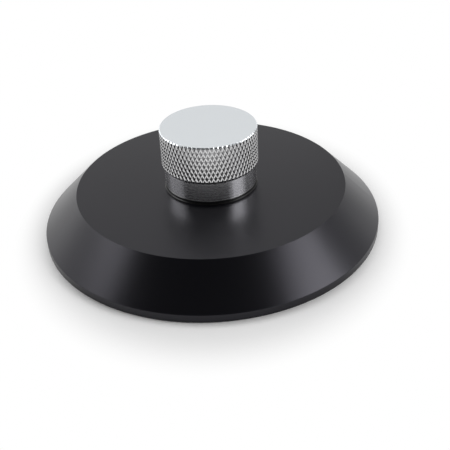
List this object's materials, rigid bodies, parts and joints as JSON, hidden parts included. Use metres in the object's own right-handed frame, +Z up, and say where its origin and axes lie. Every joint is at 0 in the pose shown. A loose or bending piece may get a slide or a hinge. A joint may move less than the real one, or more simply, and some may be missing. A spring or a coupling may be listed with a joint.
{
  "type": "record weight clamp",
  "caption": "Round record clamp: a black turned disc with a sloped flank and a knurled metal knob that draws a collet onto the turntable's spindle.",
  "frame": {"origin": "on the axis of the clamp, in the plane where its pad rests on the record", "axes": "+Z up along the axis, from the record to the top of the knob; +X through the key pin"},
  "size_m": [0.1, 0.1, 0.031],
  "materials": {
    "black_anodised": "satin black anodised",
    "bright_aluminium": "turned and knurled, clear anodised",
    "washer_black": "smooth",
    "collet_brass": "turned",
    "pin_steel": "ground",
    "pad_rubber": "matt"
  },
  "bodies": {
    "base": {"disc": "black_anodised", "base_pad": "pad_rubber", "key_pin": "pin_steel", "thrust_washer": "washer_black"},
    "knob": {"knob": "bright_aluminium"},
    "collet": {"collet": "collet_brass"}
  },
  "joints": [
    {"name": "knob_turn", "type": "hinge", "parent": "base", "child": "knob", "pos_m": [0, 0, 0.0137], "axis": [0, 0, -1], "range_deg": [0, 270]},
    {"name": "collet_lift", "type": "slide", "parent": "base", "child": "collet", "axis": [0, 0, 1], "range_m": [0, 0.00075]}
  ],
  "couplings": [
    {"joint": "collet_lift", "follows": "knob_turn", "m_per_rad": 0.00015915}
  ]
}
